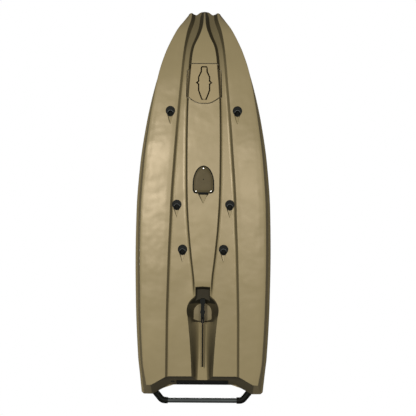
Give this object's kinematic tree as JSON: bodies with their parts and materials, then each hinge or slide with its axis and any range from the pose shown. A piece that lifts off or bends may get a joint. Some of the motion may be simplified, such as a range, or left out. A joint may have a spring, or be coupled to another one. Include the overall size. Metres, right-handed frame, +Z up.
{
  "type": "fishing kayak",
  "caption": "Wide tri-hull sit-on-top fishing kayak with a drive well, a rudder in a stern tunnel, a raised seat, a bow hatch and a stern bar.",
  "frame": {"origin": "on the ground under the middle of the overall length and beam", "axes": "+Y to the bow, +X to starboard, +Z up"},
  "size_m": [1.0918, 3.19, 0.6475],
  "materials": {
    "hull_tan": "semi-gloss moulded polyethylene, tan",
    "deck_tan": "semi-gloss moulded polyethylene, tan",
    "pod_tan": "semi-gloss moulded polyethylene, tan",
    "cover_olive": "dark olive, glossy",
    "moulded_black": "black moulded nylon",
    "rubber": "soft black rubber",
    "stainless_steel": "stainless steel",
    "tube_grey": "grey coated aluminium tube",
    "anodised_aluminium": "black anodised aluminium",
    "seat_fabric": "woven seat fabric, dark",
    "nylon": "black nylon",
    "plug_olive": "olive plastic",
    "foam": "white closed-cell foam"
  },
  "bodies": {
    "hull": {"cover_screw_front": "stainless_steel", "cover_screw_port": "stainless_steel", "cover_screw_starboard": "stainless_steel", "deck_shell": "deck_tan", "drive_pod": "pod_tan", "foam_block_port": "foam", "foam_block_starboard": "foam", "gear_track_port": "anodised_aluminium", "gear_track_starboard": "anodised_aluminium", "handle_bracket_bow": "nylon", "handle_bracket_port": "nylon", "handle_bracket_starboard": "nylon", "hatch_gasket": "rubber", "hatch_hinge_pin": "stainless_steel", "hull_shell": "hull_tan", "rod_holder_port": "moulded_black", "rod_holder_starboard": "moulded_black", "rudder_bushing": "nylon", "scupper_tube_aft_port": "moulded_black", "scupper_tube_aft_starboard": "moulded_black", "scupper_tube_front_port": "moulded_black", "scupper_tube_front_starboard": "moulded_black", "scupper_tube_mid_port": "moulded_black", "scupper_tube_mid_starboard": "moulded_black", "seat_cushion": "seat_fabric", "seat_hinge_pin": "stainless_steel", "seat_pan": "tube_grey", "stern_bar": "tube_grey", "stern_elbow_port": "moulded_black", "stern_elbow_starboard": "moulded_black", "transducer_cover": "cover_olive", "transom_pad": "moulded_black"},
    "drive_plug": {"drive_plug": "pod_tan", "drive_plug_handle": "moulded_black"},
    "rudder": {"rudder_housing": "moulded_black", "rudder_stock": "stainless_steel", "rudder_pivot_pin": "stainless_steel", "rudder_quadrant": "nylon"},
    "rudder_blade": {"rudder_blade": "cover_olive"},
    "steering": {"steering_handle": "moulded_black", "steering_shaft": "stainless_steel"},
    "hatch_lid": {"hatch_lid": "hull_tan"},
    "latch_port": {"hatch_latch_port": "moulded_black"},
    "latch_starboard": {"hatch_latch_starboard": "moulded_black"},
    "seat_back": {"seat_back": "tube_grey", "seat_back_cushion": "seat_fabric"},
    "rod_cap_port": {"rod_cap_port": "rubber"},
    "rod_cap_starboard": {"rod_cap_starboard": "rubber"},
    "drain_plug": {"drain_plug": "plug_olive"},
    "scupper_plug_front_port": {"scupper_plug_front_port": "rubber"},
    "scupper_plug_front_starboard": {"scupper_plug_front_starboard": "rubber"},
    "scupper_plug_mid_port": {"scupper_plug_mid_port": "rubber"},
    "scupper_plug_mid_starboard": {"scupper_plug_mid_starboard": "rubber"},
    "scupper_plug_aft_port": {"scupper_plug_aft_port": "rubber"},
    "scupper_plug_aft_starboard": {"scupper_plug_aft_starboard": "rubber"},
    "handle_port": {"handle_port": "moulded_black"},
    "handle_starboard": {"handle_starboard": "moulded_black"},
    "handle_bow": {"handle_bow": "moulded_black"}
  },
  "joints": [
    {"name": "drive_plug_lift", "type": "slide", "parent": "hull", "child": "drive_plug", "axis": [0, 0, 1], "range_m": [0, 0.11]},
    {"name": "scupper_pull_front_port", "type": "slide", "parent": "hull", "child": "scupper_plug_front_port", "axis": [0, 0, 1], "range_m": [0, 0.04]},
    {"name": "scupper_pull_front_starboard", "type": "slide", "parent": "hull", "child": "scupper_plug_front_starboard", "axis": [0, 0, 1], "range_m": [0, 0.04]},
    {"name": "scupper_pull_mid_port", "type": "slide", "parent": "hull", "child": "scupper_plug_mid_port", "axis": [0, 0, 1], "range_m": [0, 0.04]},
    {"name": "scupper_pull_mid_starboard", "type": "slide", "parent": "hull", "child": "scupper_plug_mid_starboard", "axis": [0, 0, 1], "range_m": [0, 0.04]},
    {"name": "scupper_pull_aft_port", "type": "slide", "parent": "hull", "child": "scupper_plug_aft_port", "axis": [0, 0, 1], "range_m": [0, 0.04]},
    {"name": "scupper_pull_aft_starboard", "type": "slide", "parent": "hull", "child": "scupper_plug_aft_starboard", "axis": [0, 0, 1], "range_m": [0, 0.04]},
    {"name": "steering_turn", "type": "hinge", "parent": "hull", "child": "steering", "pos_m": [-0.43, 0.1, 0.31782], "axis": [0, 0, 1], "range_deg": [-28, 28]},
    {"name": "rudder_steer", "type": "hinge", "parent": "hull", "child": "rudder", "pos_m": [0, -0.831, 0.15], "axis": [0, 0, 1], "range_deg": [-7, 7]},
    {"name": "rudder_blade_swing", "type": "hinge", "parent": "rudder", "child": "rudder_blade", "pos_m": [0, -0.882, 0.056], "axis": [1, 0, 0], "range_deg": [0, 90]},
    {"name": "hatch_open", "type": "hinge", "parent": "hull", "child": "hatch_lid", "pos_m": [0, 1.443, 0.411], "axis": [-1, 0, 0], "range_deg": [0, 100]},
    {"name": "latch_lift_port", "type": "hinge", "parent": "hatch_lid", "child": "latch_port", "pos_m": [-0.035, 1.231, 0.4126], "axis": [-1, 0, 0], "range_deg": [0, 90]},
    {"name": "latch_lift_starboard", "type": "hinge", "parent": "hatch_lid", "child": "latch_starboard", "pos_m": [0.035, 1.231, 0.4126], "axis": [-1, 0, 0], "range_deg": [0, 90]},
    {"name": "seat_back_fold", "type": "hinge", "parent": "hull", "child": "seat_back", "pos_m": [0, -0.4, 0.218], "axis": [1, 0, 0], "range_deg": [-70, 15]},
    {"name": "handle_swing_port", "type": "hinge", "parent": "hull", "child": "handle_port", "pos_m": [-0.425, -0.19, 0.33246], "axis": [0, 1, 0], "range_deg": [0, 165]},
    {"name": "handle_swing_starboard", "type": "hinge", "parent": "hull", "child": "handle_starboard", "pos_m": [0.425, -0.19, 0.33246], "axis": [0, -1, 0], "range_deg": [0, 165]},
    {"name": "handle_swing_bow", "type": "hinge", "parent": "hull", "child": "handle_bow", "pos_m": [0, 1.485, 0.3943], "axis": [1, 0, 0], "range_deg": [0, 90]},
    {"name": "rod_cap_open_port", "type": "hinge", "parent": "hull", "child": "rod_cap_port", "pos_m": [-0.4199, -0.398, 0.32873], "axis": [-1, 0, 0], "range_deg": [0, 120]},
    {"name": "rod_cap_open_starboard", "type": "hinge", "parent": "hull", "child": "rod_cap_starboard", "pos_m": [0.4199, -0.398, 0.32873], "axis": [-1, 0, 0], "range_deg": [0, 120]},
    {"name": "drain_plug_out", "type": "slide", "parent": "hull", "child": "drain_plug", "axis": [0, -0.9202, -0.3915], "range_m": [0, 0.03]}
  ],
  "couplings": [
    {"joint": "rudder_steer", "follows": "steering_turn", "ratio": -0.25}
  ]
}
